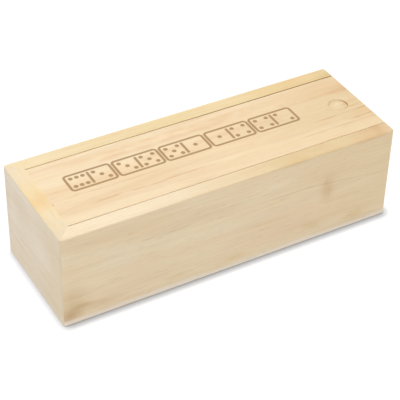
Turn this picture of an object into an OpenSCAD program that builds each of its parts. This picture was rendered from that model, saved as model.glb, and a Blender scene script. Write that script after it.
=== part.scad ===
// Sliding-lid wooden box for a set of dominoes.
// +X is the way the lid slides out, -Y is the front, +Z is up.
// The origin is the centre of the base, on the surface that the box stands on.

/* [Dominoes it holds] */
// Length of one domino, which lies across the box
tile_length = 54; // [40:0.5:80]
// Width of one domino, which lies along the box
tile_width = 27; // [20:0.5:40]
// Thickness of one domino
tile_thickness = 11; // [7:0.5:18]
// Dominoes in one row along the box
tiles_in_row = 7; // [4:1:14]
// Layers of dominoes
tile_layers = 4; // [2:1:7]
// Play of the row along the box
play_along = 2; // [1:0.5:6]
// Play across the box
play_across = 1; // [0.5:0.5:4]
// Room above the top layer, under the lid
play_above = 2; // [1:0.5:8]

/* [Boards] */
// Thickness of the two walls and the two ends
board_t = 9; // [7:0.5:14]
// Thickness of the bottom panel
panel_t = 4; // [3:0.5:6]
// Height of the panel above the surface the box stands on
foot_h = 3; // [2:0.5:8]
// Thickness of the lid
lid_t = 7; // [6:0.5:12]

/* [Grooves and joints] */
// Depth of the grooves for the lid and for the panel
groove_d = 4; // [2:0.5:5]
// Thickness of the tongue round the lid
tongue_t = 3.5; // [2:0.5:4]
// Depth of the rebates that hold the low end
rebate_d = 4; // [2:0.5:5]
// Play of the panel in its groove, on each side
panel_play = 0.2; // [0.1:0.1:0.6]

/* [Lid running] */
// Play between the lid and each wall
side_play = 0.4; // [0.3:0.1:0.8]
// Play above the tongue
slide_play = 0.4; // [0.2:0.1:0.8]
// How far the lid lies towards the front within its play
lid_offset = 0.1; // [-0.2:0.1:0.2]

/* [Finger notch] */
// Diameter of the notch
notch_d = 12; // [10:0.5:22]
// Depth of the notch
notch_depth = 1.4; // [1:0.2:3]
// Radius between the notch's wall and its floor
notch_cove_r = 0.5; // [0.2:0.1:0.9]
// Distance of the notch's centre from the lid's open end
notch_from_end = 14.5; // [14:0.5:40]

/* [Eased edges] */
// Radius of the four upright corners, sanded on the glued box
corner_r = 2; // [1.2:0.1:4]
// Radius of the top and bottom edges round the outside
edge_r = 0.8; // [0.3:0.1:1]
// Radius of the edges along the lid's gaps and over the low end
arris_r = 0.3; // [0.2:0.1:1]

/* [Hidden] */
$fn = 96;
// how far a cutter reaches past the wood that it cuts
over = 1;

cavity_l = tiles_in_row * tile_width + play_along;
cavity_w = tile_length + play_across;
cavity_h = tile_layers * tile_thickness + play_above;

// heights, from the surface up
floor_z = foot_h + panel_t;
lid_z = floor_z + cavity_h;
tongue_z = lid_z + tongue_t;
box_h = lid_z + lid_t;

// the planes of the outer and inner faces, from the middle of the box
out_x = cavity_l / 2 + board_t;
out_y = cavity_w / 2 + board_t;
in_x = cavity_l / 2;
in_y = cavity_w / 2;

wall_wood = [0.86, 0.79, 0.67];
end_wood = [0.90, 0.82, 0.67];
panel_wood = [0.84, 0.76, 0.62];
lid_wood = [0.95, 0.87, 0.73];

// the waste taken off a right-angled corner at the origin, whose wood lies in the +x +y quarter
module corner_waste(r) {
    difference() {
        translate([-over, -over]) square(r + over);
        translate([r, r]) circle(r);
    }
}

// a rectangle about the y axis from y = 0 up, with all four corners rounded
module eased_rectangle(half_w, h, r) {
    difference() {
        translate([-half_w, 0]) square([2 * half_w, h]);
        for (side = [0, 1]) mirror([side, 0]) translate([-half_w, 0]) {
            corner_waste(r);
            translate([0, h]) mirror([0, 1]) corner_waste(r);
        }
    }
}

// one upright corner of the closed box, a post whose rims are eased as the straight edges are
module corner_post() {
    rotate_extrude() difference() {
        square([corner_r, box_h]);
        translate([corner_r, 0]) mirror([1, 0]) corner_waste(edge_r);
        translate([corner_r, box_h]) mirror([1, 0]) mirror([0, 1]) corner_waste(edge_r);
    }
}

// the outer shape of the closed box: a bar along it, a bar across it and four corner posts
module eased_block() {
    post_x = out_x - corner_r;
    post_y = out_y - corner_r;
    translate([-post_x, 0, 0]) rotate([90, 0, 90])
        linear_extrude(2 * post_x) eased_rectangle(out_y, box_h, edge_r);
    translate([0, post_y, 0]) rotate([90, 0, 0])
        linear_extrude(2 * post_y) eased_rectangle(out_x, box_h, edge_r);
    for (x = [-post_x, post_x], y = [-post_y, post_y]) translate([x, y, 0]) corner_post();
}

// a bar along x whose cross-section is the waste of the edge at y = 0, z = 0
module edge_waste_x(from, to) {
    translate([from, 0, 0]) rotate([90, 0, 90]) linear_extrude(to - from) corner_waste(arris_r);
}

// the channel that the lid's tongue runs in, round three sides and out at the low end
module lid_channel() {
    translate([-in_x - groove_d, -in_y - groove_d, lid_z])
        cube([in_x + groove_d + out_x + over, 2 * (in_y + groove_d), tongue_t + slide_play]);
}

// the channel that the bottom panel sits in, round all four sides
module panel_channel() {
    translate([-in_x - groove_d, -in_y - groove_d, foot_h])
        cube([2 * (in_x + groove_d), 2 * (in_y + groove_d), panel_t + panel_play]);
}

// the space that the low end fills, let into both walls
module low_end_space() {
    translate([in_x, -in_y - rebate_d, -over])
        cube([board_t + over, 2 * (in_y + rebate_d), lid_z + over]);
}

// all that lies behind the mitre at the fixed end of the front wall
module behind_mitre() {
    reach = board_t + 2 * over;
    translate([-in_x, -in_y, -over]) linear_extrude(box_h + 2 * over)
        polygon([[over, over], [-reach, -reach], [-reach, over]]);
}

// all that lies in front of the mitre at the front corner of the fixed end
module before_mitre() {
    reach = board_t + 2 * over;
    translate([-in_x, -in_y, -over]) linear_extrude(box_h + 2 * over)
        polygon([[over, over], [-reach, -reach], [over, -reach]]);
}

// one long wall, as it stands at the front
module long_wall() {
    intersection() {
        eased_block();
        difference() {
            translate([-out_x - over, -out_y - over, -over])
                cube([2 * (out_x + over), board_t + over, box_h + 2 * over]);
            lid_channel();
            panel_channel();
            low_end_space();
            behind_mitre();
            translate([0, -in_y, box_h]) mirror([0, 1, 0]) mirror([0, 0, 1])
                edge_waste_x(-out_x, out_x + over);
        }
    }
}

module front_wall() {
    color(wall_wood) long_wall();
}

module back_wall() {
    color(wall_wood) mirror([0, 1, 0]) long_wall();
}

module fixed_end() {
    color(end_wood) intersection() {
        eased_block();
        difference() {
            translate([-out_x - over, -out_y - over, -over])
                cube([board_t + over, 2 * (out_y + over), box_h + 2 * over]);
            lid_channel();
            panel_channel();
            for (side = [0, 1]) mirror([0, side, 0]) before_mitre();
        }
    }
}

module low_end() {
    color(end_wood) intersection() {
        eased_block();
        difference() {
            low_end_space();
            panel_channel();
            translate([out_x, 0, lid_z]) rotate(90) mirror([0, 0, 1]) edge_waste_x(-out_y, out_y);
            translate([in_x, 0, lid_z]) rotate(-90) mirror([0, 0, 1]) edge_waste_x(-out_y, out_y);
        }
    }
}

module bottom_panel() {
    reach = groove_d - panel_play;
    color(panel_wood) translate([-in_x - reach, -in_y - reach, foot_h])
        cube([2 * (in_x + reach), 2 * (in_y + reach), panel_t]);
}

// the lid's cross-section: its tongues below, its face between the walls above
module lid_section() {
    half_tongue = in_y + groove_d - side_play;
    half_face = in_y - side_play;
    translate([-half_tongue, 0]) square([2 * half_tongue, tongue_t]);
    difference() {
        translate([-half_face, 0]) square([2 * half_face, lid_t]);
        for (side = [0, 1]) mirror([side, 0])
            translate([half_face, lid_t]) rotate(180) corner_waste(arris_r);
    }
}

// the round cutter of the finger notch, with its floor at z = 0
module notch_cutter() {
    rotate_extrude() difference() {
        square([notch_d / 2, notch_depth + over]);
        translate([notch_d / 2, 0]) mirror([1, 0]) corner_waste(notch_cove_r);
    }
}

module lid() {
    tongue_end = in_x + groove_d - side_play;
    color(lid_wood) difference() {
        intersection() {
            eased_block();
            translate([-tongue_end, -lid_offset, lid_z]) rotate([90, 0, 90])
                linear_extrude(tongue_end + out_x + over) lid_section();
        }
        // the end tongue, which leaves the lid's face butting on the fixed end
        translate([-tongue_end - over, -out_y, tongue_z])
            cube([tongue_end + over - in_x, 2 * out_y, lid_t]);
        translate([out_x, 0, lid_z]) rotate(90) edge_waste_x(-out_y, out_y);
        translate([out_x - notch_from_end, -lid_offset, box_h - notch_depth]) notch_cutter();
    }
}

front_wall();
back_wall();
fixed_end();
low_end();
bottom_panel();
lid();
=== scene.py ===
"""Looks of a pine box with a sliding lid, which holds a set of dominoes.

Every board is a CAD node and keeps its mesh. Each gets its own cut of pine: growth rings about
that board's pith, so that long grain, edge grain and end grain agree where faces meet.
"""
import math

import bmesh
import bpy
from mathutils import Matrix, Vector


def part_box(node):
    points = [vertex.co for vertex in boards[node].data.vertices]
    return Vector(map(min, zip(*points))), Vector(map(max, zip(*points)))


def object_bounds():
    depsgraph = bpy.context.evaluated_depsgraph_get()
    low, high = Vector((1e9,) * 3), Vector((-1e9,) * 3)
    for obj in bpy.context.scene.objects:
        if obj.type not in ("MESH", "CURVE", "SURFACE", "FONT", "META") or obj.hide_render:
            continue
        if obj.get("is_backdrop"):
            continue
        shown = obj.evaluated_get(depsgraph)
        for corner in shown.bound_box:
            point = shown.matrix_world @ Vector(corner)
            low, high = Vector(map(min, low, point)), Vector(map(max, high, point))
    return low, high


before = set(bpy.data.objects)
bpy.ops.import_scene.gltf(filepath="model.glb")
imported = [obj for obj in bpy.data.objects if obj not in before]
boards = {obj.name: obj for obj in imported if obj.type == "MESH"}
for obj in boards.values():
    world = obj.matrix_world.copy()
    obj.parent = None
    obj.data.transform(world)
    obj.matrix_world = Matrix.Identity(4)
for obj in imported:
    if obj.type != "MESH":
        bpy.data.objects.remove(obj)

cad_box = [list(corner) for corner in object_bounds()]

MM = 0.001

# ---------------------------------------------------------------- camera

# angles in degrees, distances in metres, sensor and lens in mm
CAMERA_AZIMUTH = -30.5
CAMERA_ELEVATION = 38.3
CAMERA_ROLL = 1.6
CAMERA_DISTANCE = 0.785
CAMERA_TARGET = Vector((-0.0026, -0.0027, 0.0256))
SENSOR = 36.0
LENS = 124.3


def aim_camera():
    azimuth, elevation = math.radians(CAMERA_AZIMUTH), math.radians(CAMERA_ELEVATION)
    back = Vector((
        math.sin(azimuth) * math.cos(elevation),
        -math.cos(azimuth) * math.cos(elevation),
        math.sin(elevation),
    ))
    lens = bpy.data.cameras.new("camera")
    lens.sensor_width = SENSOR
    lens.lens = LENS
    camera = bpy.data.objects.new("camera", lens)
    bpy.context.scene.collection.objects.link(camera)
    turn = back.to_track_quat("Z", "Y").to_matrix() @ Matrix.Rotation(math.radians(CAMERA_ROLL), 3, "Z")
    camera.matrix_world = Matrix.Translation(CAMERA_TARGET + back * CAMERA_DISTANCE) @ turn.to_4x4()
    bpy.context.scene.camera = camera


# ---------------------------------------------------------------- shader tools

# a Mix node numbers its colour sockets after those for numbers and vectors
MIX_A, MIX_B, MIX_COLOUR = 6, 7, 2
TINT = {"output": MIX_COLOUR, "data_type": "RGBA"}


def linear(code):
    """An sRGB hex colour as linear RGBA."""
    channels = [int(code[i:i + 2], 16) / 255 for i in (1, 3, 5)]
    return [c / 12.92 if c <= 0.04045 else ((c + 0.055) / 1.055) ** 2.4 for c in channels] + [1.0]


def add(tree, kind, inputs=None, output=0, **settings):
    """Adds a node, sets its properties, fills its inputs with values or links, and returns one output."""
    node = tree.nodes.new("ShaderNode" + kind)
    for name, value in settings.items():
        setattr(node, name, value)
    for key, value in (inputs or {}).items():
        if isinstance(value, bpy.types.NodeSocket):
            tree.links.new(value, node.inputs[key])
        else:
            node.inputs[key].default_value = value
    return node.outputs[output] if node.outputs else None


def new_material(name):
    material = bpy.data.materials.new(name)
    material.use_nodes = True
    material.node_tree.nodes.clear()
    return material, material.node_tree


# ---------------------------------------------------------------- marks in the wood, and painted light and shade

def fade(tree, value, middle, solid, reach, strength):
    """Mask of full strength as far as solid from middle, falling softly to nothing at reach."""
    away = add(tree, "Math", {0: value, 1: middle}, operation="SUBTRACT")
    away = add(tree, "Math", {0: away}, operation="ABSOLUTE")
    return add(tree, "MapRange", {
        "Value": away, "From Min": solid, "From Max": reach, "To Min": strength, "To Max": 0.0,
    }, interpolation_type="SMOOTHSTEP")


def streak(tree, x, y, start, end, half_width, strength):
    """Mask of a darker line from start to end, both (along, across) in mm.

    Mostly late wood; along the gaps beside the lid it is painted shade.
    """
    (x0, y0), (x1, y1) = start, end
    line = add(tree, "MapRange", {
        "Value": x, "From Min": x0, "From Max": x1, "To Min": y0, "To Max": y1,
    })
    core = fade(tree, y, line, 0.0, half_width, strength)
    half_length = (x1 - x0) / 2
    ends = fade(tree, x, x0 + half_length, half_length / 2, half_length, 1.0)
    return add(tree, "Math", {0: core, 1: ends}, operation="MULTIPLY")


def smudge(tree, x, y, centre, reach, strength):
    """Mask of a soft patch, such as a tint or a pin knot, with its half sizes (along, across) in mm."""
    spot = add(tree, "CombineXYZ", {"X": x, "Y": y})
    spot = add(tree, "VectorMath", {0: spot, 1: (*centre, 0)}, operation="SUBTRACT")
    spot = add(tree, "VectorMath", {0: spot, 1: (1 / reach[0], 1 / reach[1], 0)}, operation="MULTIPLY")
    from_centre = add(tree, "VectorMath", {0: spot}, output="Value", operation="LENGTH")
    return add(tree, "MapRange", {
        "Value": from_centre, "To Min": strength, "To Max": 0.0,
    }, interpolation_type="SMOOTHSTEP")


def painted_gap_side(tree, x, y, past, towards, middle, reach, strength):
    """Mask for painted shade and painted light on a side facing a gap beside the lid, such as the lip
    over the lid's groove, strongest at middle.
    """
    normal = add(tree, "TexCoord", output="Normal")
    side = add(tree, "VectorMath", {0: normal, 1: towards}, output="Value", operation="DOT_PRODUCT")
    there = add(tree, "Math", {0: y, 1: past}, operation="GREATER_THAN")
    gap_facing = add(tree, "Math", {0: side, 1: there}, operation="MULTIPLY", use_clamp=True)
    near = fade(tree, x, middle, 0.0, reach, strength)
    return add(tree, "Math", {0: gap_facing, 1: near}, operation="MULTIPLY")


# ---------------------------------------------------------------- burnt row of dominoes

# lengths in mm
TILE_LENGTH = 27.0
TILE_WIDTH = 13.5
TILE_GAP = 2.0
TILE_CORNER = 1.8
DIVIDER_INSET = 2.2
DIVIDER_CORE = 0.05
PIP_RADIUS = 1.25
PIP_STEP = 3.6
BURN_LINE = 1.4
BURN_FADE_IN = 0.25
BURN_FADE_OUT = 0.3
BURN_DEPTH = 0.15
# only wood this near the lid's face is burnt, so that its underside stays bare
BURN_ZONE = 1.0
BURN_STRENGTH = 0.94
BURNT = "#a98557"
# the count on each half of each tile, and the places of a count's pips, in steps from the middle
CHAIN = [(6, 3), (3, 5), (5, 1), (1, 4), (4, 2)]
CHAIN_MIDDLE = (-9.0, 4.5)
PIPS = {
    1: [(0, 0)],
    2: [(-1, 1), (1, -1)],
    3: [(-1, 1), (0, 0), (1, -1)],
    4: [(-1, -1), (-1, 1), (1, -1), (1, 1)],
    5: [(-1, -1), (-1, 1), (0, 0), (1, -1), (1, 1)],
    6: [(-1, -1), (0, -1), (1, -1), (-1, 1), (0, 1), (1, 1)],
}


def outline(tree, point, half_length, half_width, corner):
    """Distance in mm from the outline of a rectangle with rounded corners about the origin."""
    folded = add(tree, "VectorMath", {0: point}, operation="ABSOLUTE")
    inner = (half_length - corner, half_width - corner, 0)
    beyond = add(tree, "VectorMath", {0: folded, 1: inner}, operation="SUBTRACT")
    outside = add(tree, "VectorMath", {0: beyond, 1: (0, 0, 0)}, operation="MAXIMUM")
    to_corner = add(tree, "VectorMath", {0: outside}, output="Value", operation="LENGTH")
    inside = add(tree, "VectorMath", {0: beyond, 1: (0, 0, 0)}, operation="MINIMUM")
    parts = add(tree, "SeparateXYZ", {0: inside}).node
    depth = add(tree, "Math", {0: parts.outputs[0], 1: parts.outputs[1]}, operation="MAXIMUM")
    signed = add(tree, "Math", {0: to_corner, 1: depth})
    signed = add(tree, "Math", {0: signed, 1: corner}, operation="SUBTRACT")
    return add(tree, "Math", {0: signed}, operation="ABSOLUTE")


def domino_burn(tree, place):
    """Distance in mm from a row of domino outlines with pips, laid end to end as in play."""
    flat = add(tree, "VectorMath", {0: place, 1: (1, 1, 0)}, operation="MULTIPLY")
    pitch = TILE_LENGTH + TILE_GAP
    first = CHAIN_MIDDLE[0] - pitch * (len(CHAIN) - 1) / 2
    strokes = []
    for i, halves in enumerate(CHAIN):
        middle = (first + i * pitch, CHAIN_MIDDLE[1], 0)
        tile = add(tree, "VectorMath", {0: flat, 1: middle}, operation="SUBTRACT")
        strokes.append(outline(tree, tile, TILE_LENGTH / 2, TILE_WIDTH / 2, TILE_CORNER))
        strokes.append(outline(tree, tile, DIVIDER_CORE, TILE_WIDTH / 2 - DIVIDER_INSET, DIVIDER_CORE))
        for side, count in zip((-1, 1), halves):
            for column, row in PIPS[count]:
                pip = (side * TILE_LENGTH / 4 + column * PIP_STEP, row * PIP_STEP, 0)
                distance = add(tree, "VectorMath", {0: tile, 1: pip}, output="Value", operation="DISTANCE")
                spread = PIP_RADIUS - BURN_LINE / 2
                strokes.append(add(tree, "Math", {0: distance, 1: spread}, operation="SUBTRACT"))
    nearest = strokes[0]
    for stroke in strokes[1:]:
        nearest = add(tree, "Math", {0: nearest, 1: stroke}, operation="MINIMUM")
    return nearest


def burn_dominoes(tree, place, colour, bump):
    """The board's colour and bump with the row of dominoes burnt into its top face."""
    scorch = add(tree, "MapRange", {
        "Value": domino_burn(tree, place),
        "From Min": BURN_LINE / 2 - BURN_FADE_IN, "From Max": BURN_LINE / 2 + BURN_FADE_OUT,
        "To Min": BURN_STRENGTH, "To Max": 0.0,
    }, interpolation_type="SMOOTHSTEP")
    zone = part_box("lid")[1].z / MM - BURN_ZONE
    height = add(tree, "SeparateXYZ", {0: place}, output=2)
    on_top = add(tree, "Math", {0: height, 1: zone}, operation="GREATER_THAN")
    scorch = add(tree, "Math", {0: scorch, 1: on_top}, operation="MULTIPLY")
    colour = add(tree, "Mix", {0: scorch, MIX_A: colour, MIX_B: linear(BURNT)}, **TINT)
    sunk = add(tree, "Math", {0: scorch, 1: -1.0}, operation="MULTIPLY")
    bump = add(tree, "Bump", {
        "Strength": 1.0, "Distance": BURN_DEPTH * MM, "Height": sunk, "Normal": bump,
    })
    return colour, bump


# ---------------------------------------------------------------- pine

# a board's directions along, across and through, in the box's frame
ALONG_X = ((1, 0, 0), (0, 1, 0), (0, 0, 1))
WALL = ((1, 0, 0), (0, 0, 1), (0, -1, 0))
END = ((0, 1, 0), (0, 0, 1), (1, 0, 0))

# the wood's patterns: how far their lumps go along and across the grain in mm, their levels of
# finer detail, and a number of their own, so that no two are alike
SWEEP = (170, 40, 2, 0)
CURL = (26, 9, 2, 29)
RING_DRIFT = (240, 9, 1, 3)
FIGURE = (110, 12, 2, 7)
CLOUD = (60, 11, 3, 11)
WAVER = (30, 12, 2, 13)
PATCH = (13, 6, 2, 31)
# single fibres are a few hundredths of a millimetre wide, so these are bundles, which show
FIBRE = (34, 0.9, 4, 17)
# resin canals are a third of a millimetre wide in real pine, and drawn three times that so that
# they show
CANAL = (7, 0.8, 2, 23)
PATTERN_ROUGHNESS = 0.55

# how far the rings wander with the trunk's sweep and curl, and the marks with the grain
SWEEP_MM = 5.0
CURL_MM = 3.0
WAVER_MM = 3.6
FRAY_MM = 0.9
FIBRE_DEPTH_MM = 0.06
# rings drift by up to so many years, and cross a board slowly, because a trunk tapers
RING_DRIFT_YEARS = 1.5
RING_TAPER = 0.035
# how late the wood looks through its year, as pairs of time and lateness
YEAR = ((0.0, 0.30), (0.12, 0.0), (0.50, 0.08), (0.86, 1.0), (1.0, 0.55))
# rings fade in places, to this share of their figure
FAINTEST = 0.1
CANAL_COLOUR = "#b98f5c"
CANAL_STRENGTH = 0.22
# from where the fibres lie low to where they stand proud
FIBRE_SHADE = (0.945, 1.045)
SANDED_ROUGHNESS = (0.68, 0.56)
# the share of its colour that end grain keeps, and then the share from early to late wood
CUT_END = (0.84, 0.76, 0.64)
CUT_END_RINGS = (1.03, 0.84)
WOOD_IOR = 1.5


def growth_rings(tree, noise, place, pith, ring, figure):
    """How late in its year the wood at each spot grew, from 0 to 1, and how strongly that shows."""
    # a trunk is never quite straight, so its rings wander along the board, in long and short waves
    bent = place
    for pattern, reach in ((SWEEP, SWEEP_MM), (CURL, CURL_MM)):
        bend = noise(pattern, "Color")
        bend = add(tree, "VectorMath", {0: bend, 1: (0.5, 0.5, 0.5)}, operation="SUBTRACT")
        bend = add(tree, "VectorMath", {0: bend, 1: (0, reach, reach)}, operation="MULTIPLY")
        bent = add(tree, "VectorMath", {0: bent, 1: bend})
    from_pith = add(tree, "VectorMath", {0: bent, 1: (0, *pith)}, operation="SUBTRACT")
    from_pith = add(tree, "VectorMath", {0: from_pith, 1: (RING_TAPER, 1, 1)}, operation="MULTIPLY")
    radius = add(tree, "VectorMath", {0: from_pith}, output="Value", operation="LENGTH")
    years = add(tree, "Math", {0: radius, 1: ring}, operation="DIVIDE")
    drift = noise(RING_DRIFT)
    years = add(tree, "Math", {0: drift, 1: RING_DRIFT_YEARS, 2: years}, operation="MULTIPLY_ADD")
    season = add(tree, "Math", {0: years}, operation="FRACT")
    # early wood is pale, and darkens to the thin late wood that ends the year
    lateness = add(tree, "FloatCurve", {"Value": season})
    curve = lateness.node.mapping.curves[0]
    curve.points[0].location = YEAR[0]
    curve.points[1].location = YEAR[-1]
    for spot in YEAR[1:-1]:
        curve.points.new(*spot)
    lateness.node.mapping.update()
    shown = add(tree, "MapRange", {
        "Value": noise(FIGURE), "From Min": 0.38, "From Max": 0.64,
        "To Min": FAINTEST * figure, "To Max": figure,
    }, interpolation_type="SMOOTHSTEP")
    return lateness, add(tree, "Math", {0: lateness, 1: shown}, operation="MULTIPLY")


def draw_marks(tree, noise, place, fibre, face, pith, marks, colour):
    """The board's colour with its marks, which keep to the grain: they waver and fray with it."""
    wave = add(tree, "Math", {0: noise(WAVER), 1: WAVER_MM, 2: -WAVER_MM / 2}, operation="MULTIPLY_ADD")
    wave = add(tree, "Math", {0: fibre, 1: FRAY_MM, 2: wave}, operation="MULTIPLY_ADD")
    wave = add(tree, "Math", {0: wave, 1: FRAY_MM / 2}, operation="SUBTRACT")
    # streaks come and go along their length
    patchy = add(tree, "MapRange", {
        "Value": noise(PATCH), "From Min": 0.36, "From Max": 0.60, "To Min": 0.25, "To Max": 1.25,
    })
    parts = add(tree, "SeparateXYZ", {0: place}).node
    # a streak is drawn as part of a ring, so from the show face it goes down into the board on an arc
    straight = add(tree, "VectorMath", {0: place, 1: (0, *pith)}, operation="SUBTRACT")
    straight = add(tree, "SeparateXYZ", {0: straight}).node
    height_squared = add(tree, "Math", {0: straight.outputs[2], 1: 2.0}, operation="POWER")
    width_squared = add(tree, "Math", {0: straight.outputs[1], 1: 2.0}, operation="POWER")
    beyond = add(tree, "Math", {0: height_squared, 1: width_squared})
    beyond = add(tree, "Math", {0: beyond, 1: (face - pith[1]) ** 2}, operation="SUBTRACT")
    beyond = add(tree, "Math", {0: beyond, 1: 0.0}, operation="MAXIMUM")
    beyond = add(tree, "Math", {0: beyond}, operation="SQRT")
    side = add(tree, "Math", {0: straight.outputs[1]}, operation="SIGN")
    on_face = add(tree, "Math", {0: beyond, 1: side, 2: pith[0]}, operation="MULTIPLY_ADD")
    across = {
        streak: add(tree, "Math", {0: on_face, 1: wave}),
        smudge: add(tree, "Math", {0: parts.outputs[1], 1: wave}),
        painted_gap_side: parts.outputs[1],
    }
    for kind, tint, *facts in marks:
        mask = kind(tree, parts.outputs[0], across[kind], *facts)
        if kind is streak:
            mask = add(tree, "Math", {0: mask, 1: patchy}, operation="MULTIPLY")
        colour = add(tree, "Mix", {0: mask, MIX_A: colour, MIX_B: linear(tint)}, **TINT)
    return colour


def pine(name, axes, face, seed, pith, ring, figure, pale, tan, late, marks=(), burn=False):
    """Pine, planed and sanded but left without oil or varnish, so it is pale, warm and matte.

    axes are the board's directions, and face is how far its show face lies along the last one.
    seed gives it patterns of its own. pith is the tree's centre in the board's cross-section and
    ring is a year's growth. All lengths are in mm. figure is how strongly the rings show, from 0
    to 1. pale, tan and late are early wood, its darker clouds and late wood. burn adds the row of
    dominoes.
    """
    material, tree = new_material("bare_pine_" + name)
    coordinates = add(tree, "TexCoord").node
    place = add(tree, "Mapping", {
        "Vector": coordinates.outputs["Object"],
        "Rotation": Matrix(axes).to_euler(),
        "Scale": [1 / MM] * 3,
    })

    def noise(pattern, output="Fac"):
        """One of the wood's patterns, as this board has it."""
        along, across, detail, number = pattern
        lumps = (1 / along, 1 / across, 1 / across)
        return add(tree, "TexNoise", {
            "Vector": add(tree, "Mapping", {"Vector": place, "Scale": lumps}),
            "W": seed + number, "Scale": 1.0, "Detail": detail, "Roughness": PATTERN_ROUGHNESS,
        }, output=output, noise_dimensions="4D")

    lateness, ring_line = growth_rings(tree, noise, place, pith, ring, figure)
    cloud = add(tree, "MapRange", {"Value": noise(CLOUD), "From Min": 0.33, "From Max": 0.67})
    colour = add(tree, "Mix", {0: cloud, MIX_A: linear(pale), MIX_B: linear(tan)}, **TINT)
    colour = add(tree, "Mix", {0: ring_line, MIX_A: colour, MIX_B: linear(late)}, **TINT)

    fibre = noise(FIBRE)
    colour = draw_marks(tree, noise, place, fibre, face, pith, marks, colour)

    # resin canals are short brown dashes on the faces
    canal = add(tree, "MapRange", {
        "Value": noise(CANAL), "From Min": 0.57, "From Max": 0.74, "To Max": CANAL_STRENGTH,
    }, interpolation_type="SMOOTHSTEP")
    colour = add(tree, "Mix", {0: canal, MIX_A: colour, MIX_B: linear(CANAL_COLOUR)}, **TINT)
    shade = add(tree, "MapRange", {
        "Value": fibre, "From Min": 0.25, "From Max": 0.75,
        "To Min": FIBRE_SHADE[0], "To Max": FIBRE_SHADE[1],
    })
    colour = add(tree, "VectorMath", {0: colour, 1: shade}, operation="MULTIPLY")

    # cut fibres drink light, so end grain is darker and browner
    facing = add(tree, "VectorMath", {
        0: coordinates.outputs["Normal"], 1: axes[0],
    }, output="Value", operation="DOT_PRODUCT")
    end_grain = add(tree, "MapRange", {
        "Value": add(tree, "Math", {0: facing}, operation="ABSOLUTE"), "From Min": 0.55, "From Max": 0.95,
    }, interpolation_type="SMOOTHSTEP")
    cut_end = add(tree, "VectorMath", {0: colour, 1: CUT_END}, operation="MULTIPLY")
    ring_end = add(tree, "MapRange", {
        "Value": lateness, "To Min": CUT_END_RINGS[0], "To Max": CUT_END_RINGS[1],
    })
    cut_end = add(tree, "VectorMath", {0: cut_end, 1: ring_end}, operation="MULTIPLY")
    colour = add(tree, "Mix", {0: end_grain, MIX_A: colour, MIX_B: cut_end}, **TINT)

    height = add(tree, "Math", {0: fibre, 1: canal}, operation="SUBTRACT")
    bump = add(tree, "Bump", {"Strength": 0.5, "Distance": FIBRE_DEPTH_MM * MM, "Height": height})
    roughness = add(tree, "MapRange", {
        "Value": fibre, "From Min": 0.3, "From Max": 0.7,
        "To Min": SANDED_ROUGHNESS[0], "To Max": SANDED_ROUGHNESS[1],
    })
    if burn:
        colour, bump = burn_dominoes(tree, place, colour, bump)
    surface = add(tree, "BsdfPrincipled", {
        "Base Color": colour, "Roughness": roughness, "IOR": WOOD_IOR, "Normal": bump,
    })
    add(tree, "OutputMaterial", {"Surface": surface})
    return material


# ---------------------------------------------------------------- the boards and their marks

# marks: what, tint, then a streak's start, end, half width and strength, or a smudge's centre,
# half sizes and strength, all (along, across) in mm; the walls' across is height above the floor.
# A painted gap side has how far across it starts and the way it faces in the box's frame, then
# its strongest place along the board, the reach from there, and its strength.
# The marks of a top edge lie just above it, and an endless one doesn't fade along its board. The
# lid's side above its tongue and the back wall's lip above the lid's groove show through the gaps
# beside the lid, and painted shade and painted light on them set how dark those gaps look.
TOP_EDGE = cad_box[1][2] / MM + 0.5
ENDLESS = 900
PAST_TONGUE = -28
PAST_GROOVE = 56.8
FORWARDS = (0, -1, 0)
LID_MARKS = [
    # the browner right half, and its late wood
    (smudge, "#dec393", (96, -2), (92, 44), 0.62),
    (smudge, "#dfb684", (88, 17), (50, 9), 0.42),
    (streak, "#dab082", (52, 13), (156, 11.5), 1.6, 0.55),
    (streak, "#c99a68", (60, -8.3), (148, -8.8), 0.8, 0.60),
    (streak, "#e0bb90", (20, -14), (160, -11.5), 3.2, 0.30),
    (streak, "#d9ae80", (40, -18.8), (160, -18.2), 1.1, 0.40),
    # late wood in the left half, and painted shade along the far gap
    (streak, "#d3a87a", (-92, -16.5), (4, -16), 1.2, 0.50),
    (streak, "#e0bb90", (-60, -9), (60, -11), 3.0, 0.20),
    (streak, "#dab588", (-120, -6), (-10, -6.5), 0.9, 0.40),
    (streak, "#e3bd94", (-80, 15), (60, 17), 4.0, 0.50),
    (streak, "#c79f6c", (-10, 27.6), (220, 27.6), 1.2, 0.50),
    (streak, "#e4bc8a", (-84, 20.5), (72, 20.5), 3.4, 0.55),
    # the brown open end, round the notch, and painted shade along the near gap
    (smudge, "#cf9c66", (106, 12.8), (20, 6.8), 0.45),
    (smudge, "#cf9f6c", (98, 0.4), (11, 1.7), 0.38),
    (streak, "#cf9f6c", (90, -4.3), (124, -4.5), 1.0, 0.60),
    (smudge, "#dcb070", (98, -11.5), (12, 4.5), 0.28),
    (streak, "#cfa577", (84, -15.4), (130, -15.4), 1.6, 0.60),
    (streak, "#d8ac74", (40, -27.2), (170, -27.2), 1.4, 0.55),
    # a pin knot, painted light in the notch, and painted shade and light on the side inside the near gap
    (smudge, "#b58a5a", (-95.0, -8), (1.0, 1.0), 0.60),
    (smudge, "#fff3d6", (91.5, 2.2), (9, 6), 0.32),
    (painted_gap_side, "#b58a5a", PAST_TONGUE, FORWARDS, -105, 110, 0.35),
    (painted_gap_side, "#fff3d6", PAST_TONGUE, FORWARDS, 105, 80, 0.70),
]
# painted light along the bottom edge, which stands for light bounced up from the white floor onto its
# rounding
PAINTED_FLOOR_BOUNCE = (smudge, "#f7ebdc", (0, 1.2), (ENDLESS, 1.7), 0.50)
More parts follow.
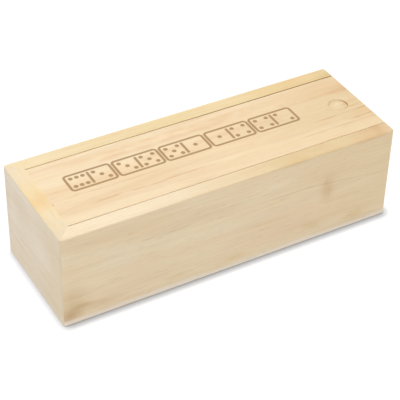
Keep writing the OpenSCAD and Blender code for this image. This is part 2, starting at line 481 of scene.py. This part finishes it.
FRONT_MARKS = [
    # clouds: a pink one in the middle and brown ones above, and painted light low down that lifts the
    # shade near the floor
    (smudge, "#eccbaa", (30, 18), (58, 24), 0.30),
    (smudge, "#f8e8c8", (24, 5), (112, 9), 0.50),
    (smudge, "#e0c498", (-22, 44), (76, 7), 0.35),
    (smudge, "#e2bf94", (64, 44), (44, 9), 0.38),
    # a knot just under the face, and the grain that bends round it
    (smudge, "#d8b183", (61.5, 35), (9, 15), 0.40),
    (smudge, "#c99a68", (60.5, 34), (5, 12), 0.16),
    (smudge, "#b98c5c", (59.6, 38.5), (2.0, 5), 0.12),
    (smudge, "#b98c5c", (62.6, 31), (2.0, 6), 0.13),
    (streak, "#bb9367", (10, 40.5), (66, 38.2), 0.8, 0.30),
    (streak, "#bb9367", (56, 38.8), (104, 31.8), 0.9, 0.32),
    # the deeper right end, and a streak at the upper left
    (smudge, "#e6cb9d", (104, 38), (80, 50), 0.40),
    (streak, "#c19a6e", (-62, 41.5), (-22, 41), 0.8, 0.28),
    # the brown lower left corner, and yellow patches along the bottom
    (smudge, "#d2ae78", (-99, 20), (14, 12), 0.40),
    (smudge, "#bf9c66", (-98, 10), (12, 8), 0.45),
    (smudge, "#b98a58", (-101, 6), (10, 5.5), 0.45),
    (smudge, "#be965c", (-92, 11.5), (10, 3), 0.35),
    (smudge, "#cdaa78", (-82, 9), (20, 4), 0.38),
    (smudge, "#dcbc77", (-36, 8), (13, 3), 0.35),
    (smudge, "#dcbc77", (2, 7), (12, 3), 0.35),
    (smudge, "#dcbc77", (52, 10), (9, 4), 0.35),
    (smudge, "#dcbc77", (82, 8), (12, 3), 0.35),
    # the top edge, and painted light on the bottom edge, which stands for light bounced up from the floor
    (smudge, "#fae8c8", (-76, TOP_EDGE), (58, 2.4), 0.60),
    (smudge, "#dab97c", (50, TOP_EDGE), (70, 2.6), 0.72),
    (smudge, "#d4a870", (94, TOP_EDGE), (24, 2.6), 0.58),
    (smudge, "#e2c698", (-12, TOP_EDGE), (28, 2.6), 0.36),
    (smudge, "#c8935a", (96, TOP_EDGE), (5, 2.6), 0.25),
    (smudge, "#fbf3e8", (0, 1.8), (ENDLESS, 2.4), 0.75),
]
BACK_MARKS = [
    # the top edge, a knot right through the board, painted shade on the lip over the lid's groove,
    # which darkens the far gap, and painted light from the floor on the bottom edge
    (smudge, "#ebd29a", (10, TOP_EDGE), (120, 2.4), 0.60),
    (smudge, "#e2bf80", (84, TOP_EDGE), (60, 2.4), 0.60),
    (smudge, "#cdb074", (104, TOP_EDGE), (14, 2.4), 0.45),
    (smudge, "#d9b68a", (-38, 24), (12, 9), 0.35),
    (smudge, "#bd9064", (-38, 24), (4.0, 4.5), 0.45),
    (painted_gap_side, "#7d5c36", PAST_GROOVE, FORWARDS, 70, 190, 0.50),
    PAINTED_FLOOR_BOUNCE,
]
FIXED_END_MARKS = [
    # the top edge, clouds on the face, and painted light from the floor on the bottom edge
    (smudge, "#f4d89e", (0, TOP_EDGE), (60, 2.4), 0.85),
    (smudge, "#edc07c", (-2, TOP_EDGE), (12, 2.2), 0.50),
    (smudge, "#e2cea6", (-38, 26), (36, 60), 0.52),
    (smudge, "#dcc5a2", (13, 46), (18, 12), 0.38),
    (smudge, "#dccab0", (36, 26), (12, 60), 0.32),
    PAINTED_FLOOR_BOUNCE,
]


def dress_boards():
    half_length, half_width, top = (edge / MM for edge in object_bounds()[1])
    cuts = {
        "front_wall": dict(
            axes=WALL, face=half_width, seed=1.0, pith=(20, -140), ring=6.0, figure=0.16,
            pale="#f3e1c1", tan="#efd7b0", late="#d3a877", marks=FRONT_MARKS,
        ),
        "back_wall": dict(
            axes=WALL, face=-half_width, seed=2.0, pith=(45, 60), ring=4.5, figure=0.26,
            pale="#f3dfb6", tan="#ecd1a2", late="#cfa36c", marks=BACK_MARKS,
        ),
        "fixed_end": dict(
            axes=END, face=-half_length, seed=3.0, pith=(24, -140), ring=5.0, figure=0.16,
            pale="#f0e3cf", tan="#e8d7bc", late="#ceac80", marks=FIXED_END_MARKS,
        ),
        # the low end's one mark is painted light from the floor on its bottom edge
        "low_end": dict(
            axes=END, face=half_length, seed=4.0, pith=(38, 60), ring=4.5, figure=0.25,
            pale="#f3e2c0", tan="#ecd5aa", late="#cfa36c", marks=[PAINTED_FLOOR_BOUNCE],
        ),
        "bottom_panel": dict(
            axes=ALONG_X, face=0.0, seed=5.0, pith=(12, -60), ring=5.5, figure=0.35,
            pale="#f0ddb6", tan="#e8cd9f", late="#c99c66",
        ),
        "lid": dict(
            axes=ALONG_X, face=top, seed=6.0, pith=(-10, -30), ring=5.0, figure=0.25,
            pale="#f5e0bc", tan="#f0d3a9", late="#d2a878", marks=LID_MARKS, burn=True,
        ),
    }
    for name, cut in cuts.items():
        mesh = boards[name].data
        mesh.materials.clear()
        mesh.materials.append(pine(name, **cut))


# ---------------------------------------------------------------- studio

# lengths in metres
FLOOR_HALF = 3.0
FLOOR_COLOUR = "#f0f0f0"
FLOOR_SEEN_PAINT = 0.25
FLOOR_SEEN_GLOW = 0.86
SHADOW_REACH = 0.0049
SHADOW_LEAN = (-0.30, 0.45, 0.84)
SHADOW_DEPTH = 0.90
SHADOW_SAMPLES = 16
WORLD_LEVEL = 0.68
# name, place, what it points at, width, watts and colour
SOFTBOXES = [
    ("overhead_softbox", (-0.15, 0.30, 1.3), (0, 0, 0.03), 1.2, 7.3, "#ffffff"),
    ("left_softbox", (-1.2, -0.6, 0.7), (0, 0, 0.03), 0.8, 0.68, "#e6eeff"),
    ("front_softbox", (0.35, -0.95, 0.75), (0, 0, 0.02), 0.8, 0.88, "#ffffff"),
]


def backdrop_rays(tree):
    """1 where a ray should find the white backdrop: seen straight, mirrored or through glass."""
    rays = add(tree, "LightPath").node
    shown = add(tree, "Math", {
        0: rays.outputs["Is Camera Ray"], 1: rays.outputs["Is Glossy Ray"],
    }, operation="MAXIMUM")
    return add(tree, "Math", {0: shown, 1: rays.outputs["Is Transmission Ray"]}, operation="MAXIMUM")


def lay_floor():
    """A pale sweep that looks white from the camera, with the box's soft contact shadow."""
    mesh = bpy.data.meshes.new("floor")
    sheet = bmesh.new()
    bmesh.ops.create_grid(sheet, x_segments=1, y_segments=1, size=FLOOR_HALF)
    sheet.to_mesh(mesh)
    sheet.free()
    floor = bpy.data.objects.new("floor", mesh)
    bpy.context.scene.collection.objects.link(floor)
    material, tree = new_material("pale_studio_floor")
    paint = add(tree, "BsdfDiffuse", {"Color": linear(FLOOR_COLOUR)})
    # the light comes from behind and from the left, so the box darkens the floor in front of it
    lean = add(tree, "VectorMath", {0: SHADOW_LEAN}, operation="NORMALIZE")
    near = add(tree, "AmbientOcclusion", {
        "Distance": SHADOW_REACH, "Normal": lean,
    }, output="AO", samples=SHADOW_SAMPLES)
    open_floor = add(tree, "MapRange", {"Value": near, "To Min": 1 - SHADOW_DEPTH})
    seen_colour = add(tree, "VectorMath", {0: open_floor, 1: [FLOOR_SEEN_PAINT] * 3}, operation="MULTIPLY")
    seen_paint = add(tree, "BsdfDiffuse", {"Color": seen_colour})
    glow = add(tree, "Math", {0: open_floor, 1: FLOOR_SEEN_GLOW}, operation="MULTIPLY")
    lift = add(tree, "Emission", {"Color": linear("#ffffff"), "Strength": glow})
    seen = add(tree, "AddShader", {0: seen_paint, 1: lift})
    add(tree, "OutputMaterial", {
        "Surface": add(tree, "MixShader", {0: backdrop_rays(tree), 1: paint, 2: seen}),
    })
    mesh.materials.append(material)
    floor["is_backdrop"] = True


def light_world():
    """Even light from all round, which looks white where it is seen."""
    world = bpy.data.worlds.new("studio")
    world.use_nodes = True
    tree = world.node_tree
    tree.nodes.clear()
    level = add(tree, "MapRange", {"Value": backdrop_rays(tree), "To Min": WORLD_LEVEL, "To Max": 1.0})
    sky = add(tree, "Background", {"Color": linear("#ffffff"), "Strength": level})
    add(tree, "OutputWorld", {"Surface": sky})
    bpy.context.scene.world = world


def hang_softbox(name, place, aim, width, power, colour):
    lamp = bpy.data.lights.new(name, "AREA")
    lamp.size = width
    lamp.energy = power
    lamp.color = linear(colour)[:3]
    box = bpy.data.objects.new(name, lamp)
    bpy.context.scene.collection.objects.link(box)
    away = Vector(place) - Vector(aim)
    box.matrix_world = Matrix.Translation(place) @ away.to_track_quat("Z", "Y").to_matrix().to_4x4()


aim_camera()
dress_boards()
lay_floor()
light_world()
for softbox in SOFTBOXES:
    hang_softbox(*softbox)
bpy.context.scene.view_settings.view_transform = "Standard"
